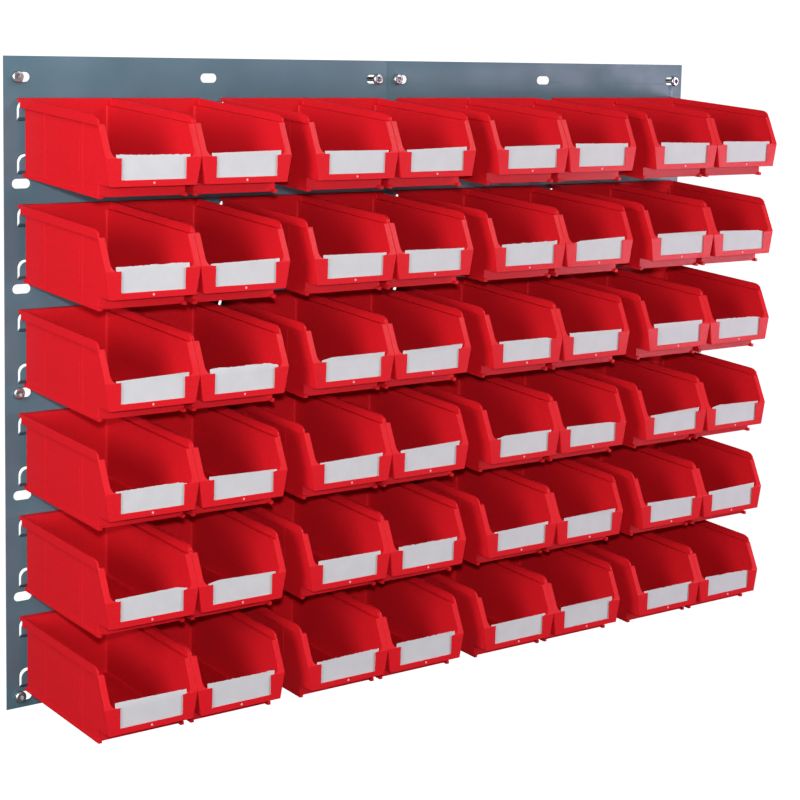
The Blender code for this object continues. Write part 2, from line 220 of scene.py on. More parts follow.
# Colours
RED_DEEP = (0.55, 0.0085, 0.0145, 1.0)
RED_BRIGHT = (0.63, 0.0105, 0.0180, 1.0)
# the colour of the painted highlight on the gate mark
GATE_HIGHLIGHT = (0.68, 0.42, 0.46, 1.0)
GREY_DEEP = (0.063, 0.120, 0.156, 1.0)
GREY_PALE = (0.094, 0.165, 0.208, 1.0)
STEEL_DULL = (0.42, 0.42, 0.43, 1.0)
STEEL_BRIGHT = (0.68, 0.68, 0.70, 1.0)
PAPER_SHADE = (0.490, 0.495, 0.508, 1.0)
PAPER_WHITE = (0.525, 0.530, 0.543, 1.0)

# Textures
NOISE_LOW = 0.3                     # the range that a noise texture mostly keeps to
NOISE_HIGH = 0.7
PIECE_SHIFT = 7.0                   # how far the texture moves from piece to piece
SPOT_CORE = 0.6                     # the share of a spot that has its full colour

# Studio: a light's name, its direction in degrees to the right of straight in
# front and upwards, distance, width, power, aim from the object's middle and colour.
# The small one stands about 70 mm above the camera.
LIGHTS = (
    ("small", -38.74, 11.12, 2.109, 0.05, 22.0, (0, 0, 0), (1, 1, 1)),
    ("side", -68, 12, 2.6, 0.9, 37.0, (0, 0, 0), (1, 1, 1)),
    ("side_near", -70, 25, 1.0, 0.5, 3.0, (-0.2, 0, 0.3), (1, 1, 1)),
    ("high_right", 43, 38, 2.6, 0.9, 30.0, (0, 0, 0), (1, 1, 1)),
    ("low_sheen", 48, -8, 1.9, 0.5, 16.0, (0.15, 0, 0.2), (1, 0.82, 0.98)),
)
BOUNCE = 0.07                       # light from below the horizon, and from above it
SKY = 0.03
HORIZON = (-0.3, 0.1)
STUDIO_FLOOR = -1.6
STUDIO_RADIUS = 7.0
STUDIO_TOP = 6.0
STUDIO_SWEEP = 1.0                  # how far the floor's turn into the backdrop reaches
STUDIO_TURN = 0.3

# Camera
CAMERA_PLACE = Vector((-1.3007, -1.6941, 0.3393))
CAMERA_HEADING = 38.05
CAMERA_PITCH = -7.464
CAMERA_ROLL = 1.202
CAMERA_LENS = 87.76
CAMERA_SHIFT = -0.126


# ---------------------------------------------------------------- mesh tools

# A side profile lies in (distance from the wall, height); a front outline lies
# in (across, height).
SIDE = Matrix(((0, 0, -1, 0), (-1, 0, 0, 0), (0, 1, 0, 0), (0, 0, 0, 1)))
FRONT = Matrix(((1, 0, 0, 0), (0, 0, -1, 0), (0, 1, 0, 0), (0, 0, 0, 1)))


def mesh_of(cage, name):
    """Store a bmesh as a new mesh with outward normals."""
    bmesh.ops.recalc_face_normals(cage, faces=cage.faces)
    mesh = bpy.data.meshes.new(name)
    cage.to_mesh(mesh)
    cage.free()
    return mesh


def round_edges(cage, radius, steps, chosen=None):
    """Bevel the sharp edges, or those of them for which chosen(edge) is true."""
    edges = []
    for edge in cage.edges:
        sharp = edge.is_manifold and edge.calc_face_angle(0) > SHARP
        if sharp and (chosen is None or chosen(edge)):
            edges.append(edge)
    bmesh.ops.bevel(cage, geom=edges, offset=radius, offset_type="OFFSET", segments=steps,
                    profile=0.5, affect="EDGES", clamp_overlap=chosen is not None)


def prism(outline, width, centre=0.0):
    """A side profile extruded across a width, as a bmesh."""
    cage = bmesh.new()
    vertices = [cage.verts.new((across, up, -width / 2)) for across, up in outline]
    face = cage.faces.new(vertices)
    extruded = bmesh.ops.extrude_face_region(cage, geom=[face])
    moved = [item for item in extruded["geom"] if isinstance(item, bmesh.types.BMVert)]
    bmesh.ops.translate(cage, verts=moved, vec=(0, 0, width))
    bmesh.ops.transform(cage, matrix=SIDE, verts=cage.verts)
    bmesh.ops.translate(cage, verts=cage.verts, vec=(centre, 0, 0))
    bmesh.ops.recalc_face_normals(cage, faces=cage.faces)
    return cage


def shown(name, data, location=(0, 0, 0)):
    """A new object in the scene."""
    piece = bpy.data.objects.new(name, data)
    piece.location = location
    bpy.context.scene.collection.objects.link(piece)
    return piece


def taken(helper):
    """The mesh that a helper object's modifiers make. The helper is removed."""
    graph = bpy.context.evaluated_depsgraph_get()
    mesh = bpy.data.meshes.new_from_object(helper.evaluated_get(graph))
    bpy.data.objects.remove(helper)
    return mesh


def shaped(base, steps):
    """Apply Boolean steps of (operation, mesh) to a mesh, one after the other."""
    target = shown("target", base)
    tools = []
    for operation, mesh in steps:
        tool = shown("tool", mesh)
        modifier = target.modifiers.new("shape", "BOOLEAN")
        modifier.object = tool
        modifier.operation = operation
        modifier.solver = "EXACT"
        tools.append(tool)
    result = taken(target)
    for tool in tools:
        bpy.data.objects.remove(tool)
    return result


def merged(mesh):
    """A mesh as a bmesh, with slivers merged and flat faces joined."""
    cage = bmesh.new()
    cage.from_mesh(mesh)
    bmesh.ops.remove_doubles(cage, verts=cage.verts, dist=WELD)
    bmesh.ops.dissolve_limit(cage, angle_limit=FLAT_ANGLE, verts=cage.verts, edges=cage.edges)
    return cage


def finished(mesh, name, material):
    """Shade flat faces flat and rounded edges smooth, and give the mesh its material."""
    cage = merged(mesh)
    cage.to_mesh(mesh)
    cage.free()
    mesh.shade_smooth()
    mesh.set_sharp_from_angle(angle=SMOOTH_ANGLE)
    holder = shown(name, mesh)
    modifier = holder.modifiers.new("normals", "WEIGHTED_NORMAL")
    modifier.keep_sharp = True
    modifier.weight = NORMAL_WEIGHT
    result = taken(holder)
    result.name = name
    result.materials.clear()
    result.materials.append(material)
    return result


def arc(centre_across, centre_up, radius, start, end, steps):
    """Points along an arc between two angles in degrees."""
    points = []
    for step in range(steps + 1):
        angle = math.radians(start + (end - start) * step / steps)
        points.append((centre_across + radius * math.cos(angle), centre_up + radius * math.sin(angle)))
    return points


def rectangle(left, right, low, high):
    return [(left, low), (right, low), (right, high), (left, high)]


# ---------------------------------------------------------------- bin

def lean(depth, height):
    """A point at a depth behind the front panel's face, at a height."""
    rise = NOSE_HEIGHT - APRON_HEIGHT
    return (NOSE - depth - APRON_SETBACK * (NOSE_HEIGHT - height) / rise, height)


def slope(mesh):
    """Let what was built level fall towards the nose, as it hangs."""
    for vertex in mesh.vertices:
        vertex.co.z -= (-vertex.co.y - BIN_REAR) * BIN_SLOPE


def body_mesh():
    """The walls and floor as one block, with its upright rear corners rounded."""
    skirt = NOSE - SKIRT_SETBACK
    inset = LEDGE / 2
    outline = [(BIN_REAR, FLOOR_LIFT), (skirt, FLOOR_LIFT), (skirt, APRON_HEIGHT),
               (NOSE - APRON_SETBACK - inset, APRON_HEIGHT), (NOSE - inset, NOSE_HEIGHT),
               (NOSE - CORNER_SETBACK - inset, LEDGE_TOP - inset), (BIN_REAR, LEDGE_TOP - inset)]
    cage = prism(outline, BODY_WIDTH)
    rear = -BIN_REAR - MM

    def at_rear(edge):
        return upright(edge) and all(vertex.co.y > rear for vertex in edge.verts)

    round_edges(cage, REAR_RADIUS, REAR_STEPS, at_rear)
    return mesh_of(cage, "body")


def upright(edge):
    return abs(edge.verts[0].co.z - edge.verts[1].co.z) > MM


def hollow_mesh():
    """The hollow, open above and forward over the nose, with its bottom and rear corners rounded."""
    skirt = NOSE - SKIRT_SETBACK - WALL
    floor = FLOOR_LIFT + WALL
    step = APRON_HEIGHT + WALL
    outline = [(BIN_REAR + WALL, floor), (skirt, floor), (skirt, step),
               (NOSE - APRON_SETBACK - FRONT_THICKNESS, step), (NOSE - FRONT_THICKNESS, NOSE_HEIGHT),
               (NOSE + OVERRUN, NOSE_HEIGHT), (NOSE + OVERRUN, BIN_HEIGHT + OVERRUN),
               (BIN_REAR + WALL, BIN_HEIGHT + OVERRUN)]
    cage = prism(outline, BODY_WIDTH - 2 * WALL)
    low = step + MM
    rear = -BIN_REAR - WALL - MM

    def at_bottom_or_rear(edge):
        at_bottom = all(vertex.co.z < low for vertex in edge.verts)
        return at_bottom or all(vertex.co.y > rear for vertex in edge.verts)

    round_edges(cage, INNER_RADIUS, INNER_STEPS, at_bottom_or_rear)
    return mesh_of(cage, "hollow")


def rim_mesh():
    """An upright band on a ledge that turns down to the nose, as a full-width block."""
    corner = NOSE - CORNER_SETBACK
    under = LEDGE_TOP - LEDGE
    rounding = []
    for step in range(CURVE_STEPS + 1):
        angle = math.radians(90 * step / CURVE_STEPS)
        rounding.append((corner - LEDGE / 2 - CORNER_LENGTH * (1 - math.cos(angle)),
                         BIN_HEIGHT - CORNER_RISE * (1 - math.sin(angle))))
    outline = [(BIN_REAR, under), (corner - LEDGE, under), (NOSE - LEDGE, NOSE_HEIGHT),
               (NOSE, NOSE_HEIGHT), (corner, LEDGE_TOP)] + rounding + [(BIN_REAR, BIN_HEIGHT)]
    return mesh_of(prism(outline, RIM_WIDTH), "rim")


def seat_mesh():
    """The space between the rim's bands, above the ledge."""
    outline = rectangle(BIN_REAR + WALL, NOSE + OVERRUN, LEDGE_TOP, BIN_HEIGHT + OVERRUN)
    return mesh_of(prism(outline, RIM_WIDTH - 2 * WALL), "seat")


def front_mesh():
    """The front panel: full rim width at the nose, body width at its foot."""
    outline = [lean(FRONT_THICKNESS, APRON_HEIGHT), lean(0, APRON_HEIGHT), lean(0, NOSE_HEIGHT),
               lean(FRONT_THICKNESS, NOSE_HEIGHT)]
    cage = prism(outline, RIM_WIDTH)
    for vertex in cage.verts:
        if vertex.co.z < NOSE_HEIGHT / 2:
            vertex.co.x *= BODY_WIDTH / RIM_WIDTH
    return mesh_of(cage, "front")


def hook_mesh():
    """The rear wall's head, and the plate back from it that rests on the louvre."""
    under = BIN_HEIGHT - HOOK_PLATE
    head = LEDGE_TOP - LEDGE
    outline = [(HOOK_BACK, under), (BIN_REAR, under), (BIN_REAR, head), (BIN_REAR + WALL, head),
               (BIN_REAR + WALL, BIN_HEIGHT), (HOOK_BACK, BIN_HEIGHT)]
    return mesh_of(prism(outline, RIM_WIDTH), "hook")


def lip_mesh():
    """The lip under the hook's plate, down behind the louvre."""
    low = BIN_HEIGHT - HOOK_DROP
    high = BIN_HEIGHT - HOOK_PLATE / 2
    return mesh_of(prism(rectangle(HOOK_BACK, HOOK_BACK + HOOK_LIP, low, high), HOOK_LIP_WIDTH), "lip")


def rail_mesh(side):
    """A runner along the underside's left (-1) or right (1) edge."""
    outline = rectangle(BIN_REAR - RAIL_OVERHANG, NOSE - SKIRT_SETBACK + RAIL_NOSE, 0, RAIL_HEIGHT)
    centre = side * (BODY_WIDTH / 2 + RAIL_PROUD - RAIL_WIDTH / 2)
    return mesh_of(prism(outline, RAIL_WIDTH, centre), "rail")


def label_cutter(width, sill, front, back):
    """A leaning slab parallel to the front panel, open at its top."""
    top = NOSE_HEIGHT + OVERRUN
    outline = [lean(back, sill), lean(front, sill), lean(front, top), lean(back, top)]
    return mesh_of(prism(outline, width), "cutter")


def raised_mesh(middle, half_width, low, high, proud, side):
    """A low moulding on a side wall, with its edges rounded."""
    outline = rectangle(middle - half_width, middle + half_width, low, high)
    cage = prism(outline, 2 * proud, side * BODY_WIDTH / 2)
    round_edges(cage, proud * MOULDING_ROUND, MOULDING_STEPS)
    return mesh_of(cage, "raised")


def gusset_mesh(side):
    """The concave fillet where the front flange meets the top of the nose."""
    inner = BODY_WIDTH / 2 - WALL
    outer = inner + SLOT_OVERLAP
    under = NOSE_HEIGHT - SLOT_OVERLAP
    corner = arc(inner - GUSSET, NOSE_HEIGHT + GUSSET, GUSSET, 0, -90, CURVE_STEPS)
    outline = corner + [(inner - GUSSET, under), (outer, under), (outer, NOSE_HEIGHT + GUSSET)]
    fall = CORNER_SETBACK / (LEDGE_TOP - NOSE_HEIGHT)
    cage = bmesh.new()
    loops = []
    for depth in (MOULDING_INSET, LEDGE - MOULDING_INSET):
        loops.append([cage.verts.new((side * across, depth + fall * (up - NOSE_HEIGHT) - NOSE, up))
                      for across, up in outline])
    cage.faces.new(loops[0])
    cage.faces.new(loops[1])
    join_rings(cage, loops[0], loops[1])
    return mesh_of(cage, "gusset")


def gate_mark_mesh():
    """The small round mark that moulding leaves under the label window."""
    cage = bmesh.new()
    bmesh.ops.create_uvsphere(cage, u_segments=16, v_segments=8, radius=GATE_RADIUS)
    depth, height = lean(GATE_RADIUS / 2, GATE_HEIGHT)
    bmesh.ops.translate(cage, verts=cage.verts, vec=(0, -depth, height))
    return mesh_of(cage, "gate_mark")


def bin_mesh(material):
    """One bin about its own middle, with the wall plane at y = 0."""
    window = label_cutter(WINDOW_WIDTH, WINDOW_SILL, -OVERRUN, FRAME_THICKNESS)
    card_slot = label_cutter(CARD_SLOT_WIDTH, CARD_SLOT_SILL, FRAME_THICKNESS - SLOT_OVERLAP,
                             FRAME_THICKNESS + CARD_SLOT)
    added = (rim_mesh(), front_mesh(), hook_mesh(), lip_mesh(), rail_mesh(-1), rail_mesh(1))
    cut = (hollow_mesh(), seat_mesh(), window, card_slot)
    steps = [("UNION", mesh) for mesh in added] + [("DIFFERENCE", mesh) for mesh in cut]
    cage = merged(shaped(body_mesh(), steps))
    round_edges(cage, EDGE, EDGE_STEPS)
    rib_low = RAIL_HEIGHT - MM
    rib_high = LEDGE_TOP - LEDGE / 2
    pad_middle = (RIB_PLACES[0] + RIB_PLACES[1]) / 2
    pad_half_width = (RIB_PLACES[1] - RIB_PLACES[0]) / 2 - RIB_WIDTH
    mouldings = [gate_mark_mesh()]
    for side in (-1, 1):
        mouldings.append(gusset_mesh(side))
        for middle in RIB_PLACES:
            mouldings.append(raised_mesh(middle, RIB_WIDTH / 2, rib_low, rib_high, RIB_PROUD, side))
        mouldings.append(raised_mesh(pad_middle, pad_half_width, PAD_LOW, PAD_HIGH, PAD_PROUD, side))
    mesh = shaped(mesh_of(cage, "rounded"), [("UNION", moulding) for moulding in mouldings])
    slope(mesh)
    return finished(mesh, "bin", material)


# ---------------------------------------------------------------- panels

def round_topped(left, right, low, high, radius):
    """A rectangle whose two top corners are rounded."""
    top = high - radius
    right_corner = arc(right - radius, top, radius, 0, 90, CURVE_STEPS)
    left_corner = arc(left + radius, top, radius, 90, 180, CURVE_STEPS)
    return [(left, low), (right, low)] + right_corner + left_corner


def slot_outline(centre_across, centre_up):
    """A horizontal slot with round ends."""
    radius = SLOT_HEIGHT / 2
    reach = SLOT_LENGTH / 2 - radius
    right_end = arc(centre_across + reach, centre_up, radius, -90, 90, SLOT_STEPS)
    left_end = arc(centre_across - reach, centre_up, radius, 90, 270, SLOT_STEPS)
    return right_end + left_end


def sheet_mesh(loops):
    """A flat sheet with holes and softened edges, its back face on the wall plane."""
    curve = bpy.data.curves.new("sheet", "CURVE")
    curve.dimensions = "2D"
    curve.fill_mode = "BOTH"
    curve.extrude = SHEET / 2 - SHEET_EDGE
    curve.bevel_depth = SHEET_EDGE
    curve.bevel_resolution = 1
    curve.offset = -SHEET_EDGE
    for loop in loops:
        spline = curve.splines.new("POLY")
        spline.points.add(len(loop) - 1)
        for point, (across, up) in zip(spline.points, loop):
            point.co = (across, up, 0, 1)
        spline.use_cyclic_u = True
    cage = bmesh.new()
    cage.from_mesh(taken(shown("sheet", curve)))
    bmesh.ops.remove_doubles(cage, verts=cage.verts, dist=WELD)
    bmesh.ops.transform(cage, matrix=FRONT, verts=cage.verts)
    bmesh.ops.translate(cage, verts=cage.verts, vec=(0, -SHEET / 2, 0))
    return mesh_of(cage, "sheet")


def tongue_mesh(centre_across, top):
    """One louvre tongue, whose foot sweeps back into the sheet on a smooth S."""
    foot = top - LOUVRE_HEIGHT
    outline = round_topped(centre_across - LOUVRE_LENGTH / 2, centre_across + LOUVRE_LENGTH / 2,
                           foot - LOUVRE_ROOT, top, LOUVRE_CORNER)
    cage = bmesh.new()
    cage.faces.new([cage.verts.new((across, 0, up)) for across, up in outline])
    for step in range(CURVE_STEPS + 1):
        height = foot + LOUVRE_RAMP * step / CURVE_STEPS
        geometry = cage.verts[:] + cage.edges[:] + cage.faces[:]
        bmesh.ops.bisect_plane(cage, geom=geometry, plane_co=(0, 0, height), plane_no=(0, 0, 1))
    for vertex in cage.verts:
        share = min(max((vertex.co.z - foot) / LOUVRE_RAMP, 0), 1)
        vertex.co.y = -SHEET / 2 - LOUVRE_BACK * share * share * (3 - 2 * share)
    flat = shown("tongue", mesh_of(cage, "tongue"))
    thickness = flat.modifiers.new("thickness", "SOLIDIFY")
    thickness.thickness = SHEET
    thickness.offset = 0
    thickness.use_even_offset = True
    edges = flat.modifiers.new("edges", "BEVEL")
    edges.width = SHEET_EDGE
    edges.segments = SHEET_EDGE_STEPS
    edges.limit_method = "ANGLE"
    edges.angle_limit = EDGE_ANGLE
    return taken(flat)


def panel_mesh(material, width, height):
    """One panel from its left edge, about its own mid-height."""
    first = height / 2 - HOOK_BELOW_EDGE - LOUVRE_BELOW_HOOK
    loops = [rectangle(0, width, -height / 2, height / 2)]
    tongues = bmesh.new()
    full_width = width + SEAM
    for pair in range(PAIRS_PER_PANEL):
        centre = full_width / PAIRS_PER_PANEL * (pair + 0.5)
        left = centre - LOUVRE_LENGTH / 2 - LOUVRE_SIDE_SLIT
        right = centre + LOUVRE_LENGTH / 2 + LOUVRE_SIDE_SLIT
        for level in range(2 * ROWS):
            top = first - LOUVRE_PITCH * level
            low = top - LOUVRE_HEIGHT
            loops.append(round_topped(left, right, low, top + LOUVRE_TOP_SLIT, LOUVRE_CORNER))
            tongues.from_mesh(tongue_mesh(centre, top))
    for level in range(SLOT_ROWS):
        up = height / 2 - SLOT_BELOW_EDGE - ROW_PITCH * level
        loops.append(slot_outline(SLOT_INSET, up))
        loops.append(slot_outline(full_width - SLOT_INSET, up))
        if level in (0, SLOT_ROWS - 1):
            loops.append(slot_outline(full_width / 2, up))
    return finished(shaped(sheet_mesh(loops), [("UNION", mesh_of(tongues, "tongues"))]), "panel", material)


# ---------------------------------------------------------------- screws

def screw_mesh(material):
    """A cap screw on the Y axis: a domed head with a hexagon socket, and a cut thread."""
    under_head = -SHEET - SCREW_GAP
    crown = under_head - SCREW_HEAD_HEIGHT
    rim = SCREW_HEAD_RADIUS
    dome = arc(rim - DOME_RADIUS, -(crown + DOME_RADIUS), DOME_RADIUS, 90, 0, CURVE_STEPS)
    under = [(rim, -under_head + EDGE), (rim - EDGE, -under_head), (0, -under_head)]
    cage = bmesh.new()
    turn_profile(cage, [(radius, -along) for radius, along in [(0, -crown)] + dome + under])
    head = mesh_of(cage, "head")
    socket = bmesh.new()
    bmesh.ops.create_cone(socket, cap_ends=True, segments=SOCKET_SIDES, radius1=SOCKET_RADIUS,
                          radius2=SOCKET_RADIUS, depth=2 * SOCKET_DEPTH)
    turned = Matrix.Translation((0, crown, 0)) @ Matrix.Rotation(math.radians(90), 4, "X")
    bmesh.ops.transform(socket, matrix=turned, verts=socket.verts)
    mesh = shaped(head, [("DIFFERENCE", mesh_of(socket, "socket"))])
    cage = bmesh.new()
    cage.from_mesh(mesh)
    cut_thread(cage, under_head - EDGE / 2, SCREW_REACH)
    return finished(mesh_of(cage, "screw"), "screw", material)


def turn_profile(cage, profile):
    """Turn a profile of (radius, along) about the Y axis, closed wherever it meets the axis."""
    rings = []
    for radius, along in profile:
        if radius < WELD:
            rings.append([cage.verts.new((0, along, 0))])
            continue
        ring = []
        for step in range(TURN_STEPS):
            angle = 2 * math.pi * step / TURN_STEPS
            ring.append(cage.verts.new((radius * math.cos(angle), along, radius * math.sin(angle))))
        rings.append(ring)
    for ring, following in zip(rings, rings[1:]):
        join_rings(cage, ring, following)


def join_rings(cage, ring, following):
    """Faces between two rings of vertices, either of which may be a single point."""
    count = max(len(ring), len(following))
    for step in range(count):
        after = (step + 1) % count
        if len(ring) == 1:
            cage.faces.new((ring[0], following[step], following[after]))
        elif len(following) == 1:
            cage.faces.new((ring[step], ring[after], following[0]))
        else:
            cage.faces.new((ring[step], ring[after], following[after], following[step]))


def cut_thread(cage, start, end):
    """A helical thread from under the head to a blunt point."""
    levels = int((end - start - THREAD_PITCH) / (THREAD_PITCH / 2))
    tip = end - THREAD_PITCH
    rings = [[cage.verts.new((0, start, 0))]]
    for level in range(levels):
        ring = []
        for step in range(TURN_STEPS):
            turn = step / TURN_STEPS
            angle = 2 * math.pi * turn
            along = start + THREAD_PITCH / 2 * (level + 1)
            phase = (along / THREAD_PITCH - turn) % 1
            groove = abs(2 * phase - 1)
            blunt = min(1, (end - along) / POINT_LENGTH)
            taper = POINT_SHARE + (1 - POINT_SHARE) * blunt
            radius = (SCREW_SHANK_RADIUS - THREAD_DEPTH * groove) * taper
            place = (radius * math.cos(angle), min(along, tip), radius * math.sin(angle))
            ring.append(cage.verts.new(place))
        rings.append(ring)
    rings.append([cage.verts.new((0, end, 0))])
    for ring, following in zip(rings, rings[1:]):
        join_rings(cage, ring, following)


# ---------------------------------------------------------------- label cards

def card_mesh(material, chance):
    """A hand-cut card standing in the label slot and a little above the nose."""
    rise = chance.uniform(*CARD_RISE) * MM
    tilt = chance.uniform(-CARD_TILT, CARD_TILT) * MM
    waves = []
    for _ in range(WAVES):
        waves.append((chance.uniform(*WAVE_COUNT), chance.uniform(*WAVE_PHASE),
                      chance.uniform(0, WAVE_SIZE) * MM))
    ragged = chance.random() < RAGGED_SHARE
    clipped = chance.random() < CLIPPED_SHARE
    clip_side = chance.choice((-1, 1))
    bow = chance.uniform(-CARD_BOW, CARD_BOW) * MM
    curl = chance.uniform(-CARD_CURL, CARD_CURL) * MM
    middle_depth = FRAME_THICKNESS + CARD_SLOT / 2
    foot = CARD_SLOT_SILL + CARD_FOOT_GAP
    cage = bmesh.new()
    columns = []
    for column in range(CARD_COLUMNS + 1):
        share = 2 * column / CARD_COLUMNS - 1
        top = NOSE_HEIGHT + rise + tilt * share
        for count, phase, size in waves:
            top += size * math.sin(count * share * WAVE_STRETCH + phase)
        if ragged:
            top += chance.uniform(-RAGGED_SIZE, RAGGED_SIZE) * MM
        if clipped:
            top -= max(0, share * clip_side - CLIP_START) * CLIP_SLOPE
        line = []
        for row in range(CARD_ROWS + 1):
            height = foot + (top - foot) * row / CARD_ROWS
            free = max(0, height - NOSE_HEIGHT) / CARD_FREE
            depth = middle_depth + bow * (1 - share * share) + curl * free * free
            distance, up = lean(depth, height)
            line.append(cage.verts.new((share * CARD_WIDTH / 2, -distance, up)))
        columns.append(line)
    for line, following in zip(columns, columns[1:]):
        for row in range(CARD_ROWS):
            cage.faces.new((line[row], following[row], following[row + 1], line[row + 1]))
    thin = shown("card", mesh_of(cage, "card"))
    thickness = thin.modifiers.new("thickness", "SOLIDIFY")
    thickness.thickness = CARD_THICKNESS
    thickness.offset = 0
    mesh = taken(thin)
    slope(mesh)
    return finished(mesh, "card", material)


# ---------------------------------------------------------------- materials

def principled(name, roughness, metallic=0.0):
    """A new Principled material and its node tree and shader."""
    material = bpy.data.materials.new(name)
    material.use_nodes = True
    tree = material.node_tree
    shader = tree.nodes["Principled BSDF"]
    shader.inputs["Roughness"].default_value = roughness
    shader.inputs["Metallic"].default_value = metallic
    return material, tree, shader


def surface_place(tree, stretch=(1, 1, 1)):
    """The place on the piece, shifted by a random amount for each piece."""
    place = tree.nodes.new("ShaderNodeTexCoord")
    piece = tree.nodes.new("ShaderNodeObjectInfo")
    shift = tree.nodes.new("ShaderNodeVectorMath")
    shift.operation = "MULTIPLY_ADD"
    shift.inputs[1].default_value = stretch
    spread = tree.nodes.new("ShaderNodeMath")
    spread.operation = "MULTIPLY"
    spread.inputs[1].default_value = PIECE_SHIFT
    tree.links.new(piece.outputs["Random"], spread.inputs[0])
    tree.links.new(place.outputs["Object"], shift.inputs[0])
    tree.links.new(spread.outputs[0], shift.inputs[2])
    return shift.outputs[0]


def noise(tree, place, scale, detail):
    texture = tree.nodes.new("ShaderNodeTexNoise")
    texture.inputs["Scale"].default_value = scale
    texture.inputs["Detail"].default_value = detail
    tree.links.new(place, texture.inputs["Vector"])
    return texture.outputs["Fac"]


def ranged(tree, value, low, high, start=NOISE_LOW, end=NOISE_HIGH):
    """Spread a texture's value over a range."""
    spread = tree.nodes.new("ShaderNodeMapRange")
    spread.inputs["From Min"].default_value = start
    spread.inputs["From Max"].default_value = end
    spread.inputs["To Min"].default_value = low
    spread.inputs["To Max"].default_value = high
    tree.links.new(value, spread.inputs["Value"])
    return spread.outputs["Result"]


def blended(tree, value, first, second):
    """A colour between two others, by a texture's value."""
    ramp = tree.nodes.new("ShaderNodeValToRGB")
    ramp.color_ramp.elements[0].position = NOISE_LOW
    ramp.color_ramp.elements[0].color = first
    ramp.color_ramp.elements[1].position = NOISE_HIGH
    ramp.color_ramp.elements[1].color = second
    tree.links.new(value, ramp.inputs["Fac"])
    return ramp.outputs["Color"]


def relief(tree, shader, value, strength, depth):
    bump = tree.nodes.new("ShaderNodeBump")
    bump.inputs["Strength"].default_value = strength
    bump.inputs["Distance"].default_value = depth
    tree.links.new(value, bump.inputs["Height"])
    tree.links.new(bump.outputs["Normal"], shader.inputs["Normal"])


def spotted(tree, colour, place, radius, spot):
    """Another colour close to one place on the piece."""
    coordinates = tree.nodes.new("ShaderNodeTexCoord")
    away = tree.nodes.new("ShaderNodeVectorMath")
    away.operation = "DISTANCE"
    away.inputs[1].default_value = place
    tree.links.new(coordinates.outputs["Object"], away.inputs[0])
    mix = tree.nodes.new("ShaderNodeMixRGB")
    mix.inputs["Color2"].default_value = spot
    share = ranged(tree, away.outputs["Value"], 1, 0, SPOT_CORE * radius, radius)
    tree.links.new(share, mix.inputs["Fac"])
    tree.links.new(colour, mix.inputs["Color1"])
    return mix.outputs["Color"]


def plastic_material():
    """Satin red polypropylene with a faint moulded grain and a painted highlight on the gate mark."""
    material, tree, shader = principled("red_polypropylene", roughness=0.45)
    place = surface_place(tree)
    streaks = surface_place(tree, (1.0, 0.12, 1.0))
    depth, height = lean(0, GATE_HEIGHT)
    gate = (0, -depth, height - (depth - BIN_REAR) * BIN_SLOPE)
    red = blended(tree, noise(tree, place, scale=600, detail=3), RED_DEEP, RED_BRIGHT)
    # a pale spot painted round the gate mark stands in for its highlight
    tree.links.new(spotted(tree, red, gate, GATE_HIGHLIGHT_REACH, GATE_HIGHLIGHT), shader.inputs["Base Color"])
    roughness = ranged(tree, noise(tree, streaks, scale=160, detail=3), low=0.38, high=0.50)
    tree.links.new(roughness, shader.inputs["Roughness"])
    relief(tree, shader, noise(tree, place, scale=420, detail=2), strength=0.2, depth=0.06 * MM)
    shader.inputs["Specular IOR Level"].default_value = 0.08
    shader.inputs["Coat Weight"].default_value = 0.04
    shader.inputs["Coat Roughness"].default_value = 0.14
    return material


def coated_material():
    """Blue-grey powder coat with its slight orange peel."""
    material, tree, shader = principled("grey_powder_coat", roughness=0.45)
    place = surface_place(tree)
    grey = blended(tree, noise(tree, place, scale=9, detail=12), GREY_DEEP, GREY_PALE)
    tree.links.new(grey, shader.inputs["Base Color"])
    roughness = ranged(tree, noise(tree, place, scale=45, detail=4), low=0.34, high=0.5)
    tree.links.new(roughness, shader.inputs["Roughness"])
    relief(tree, shader, noise(tree, place, scale=520, detail=3), strength=0.2, depth=0.15 * MM)
    return material


def steel_material():
    """Plated steel, turned about the screw's own axis."""
    material, tree, shader = principled("plated_steel", roughness=0.3, metallic=1.0)
    place = surface_place(tree)
    rings = tree.nodes.new("ShaderNodeTexWave")
    rings.wave_type = "RINGS"
    rings.rings_direction = "Y"
    rings.inputs["Scale"].default_value = 700
    rings.inputs["Distortion"].default_value = 2.0
    coordinates = tree.nodes.new("ShaderNodeTexCoord")
    tree.links.new(coordinates.outputs["Object"], rings.inputs["Vector"])
    steel = blended(tree, noise(tree, place, scale=300, detail=4), STEEL_DULL, STEEL_BRIGHT)
    tree.links.new(steel, shader.inputs["Base Color"])
    roughness = ranged(tree, noise(tree, place, scale=900, detail=3), low=0.3, high=0.5)
    tree.links.new(roughness, shader.inputs["Roughness"])
    relief(tree, shader, rings.outputs["Fac"], strength=0.15, depth=0.03 * MM)
    return material


def paper_material():
    """Plain white card with short fibres."""
    material, tree, shader = principled("white_card", roughness=0.8)
    place = surface_place(tree)
    fibres = surface_place(tree, (1.0, 1.0, 0.25))
    white = blended(tree, noise(tree, place, scale=60, detail=6), PAPER_SHADE, PAPER_WHITE)
    tree.links.new(white, shader.inputs["Base Color"])
    roughness = ranged(tree, noise(tree, fibres, scale=700, detail=4), low=0.7, high=0.92)
    tree.links.new(roughness, shader.inputs["Roughness"])
    relief(tree, shader, noise(tree, fibres, scale=1400, detail=4), strength=0.25, depth=0.08 * MM)
    return material


def studio_material():
    """A pale surface that stays evenly bright."""
    material, tree, shader = principled("studio_white", roughness=0.9)
    shader.inputs["Base Color"].default_value = (0.9, 0.9, 0.9, 1.0)
    shader.inputs["Emission Color"].default_value = (1.0, 1.0, 1.0, 1.0)
    shader.inputs["Emission Strength"].default_value = 1.0
    return material


# ---------------------------------------------------------------- placing

def attach(piece, node):
    """Let a piece stand for a CAD node and move with its body."""
    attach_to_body(piece, frame["nodes"][node]["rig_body"])
    return piece


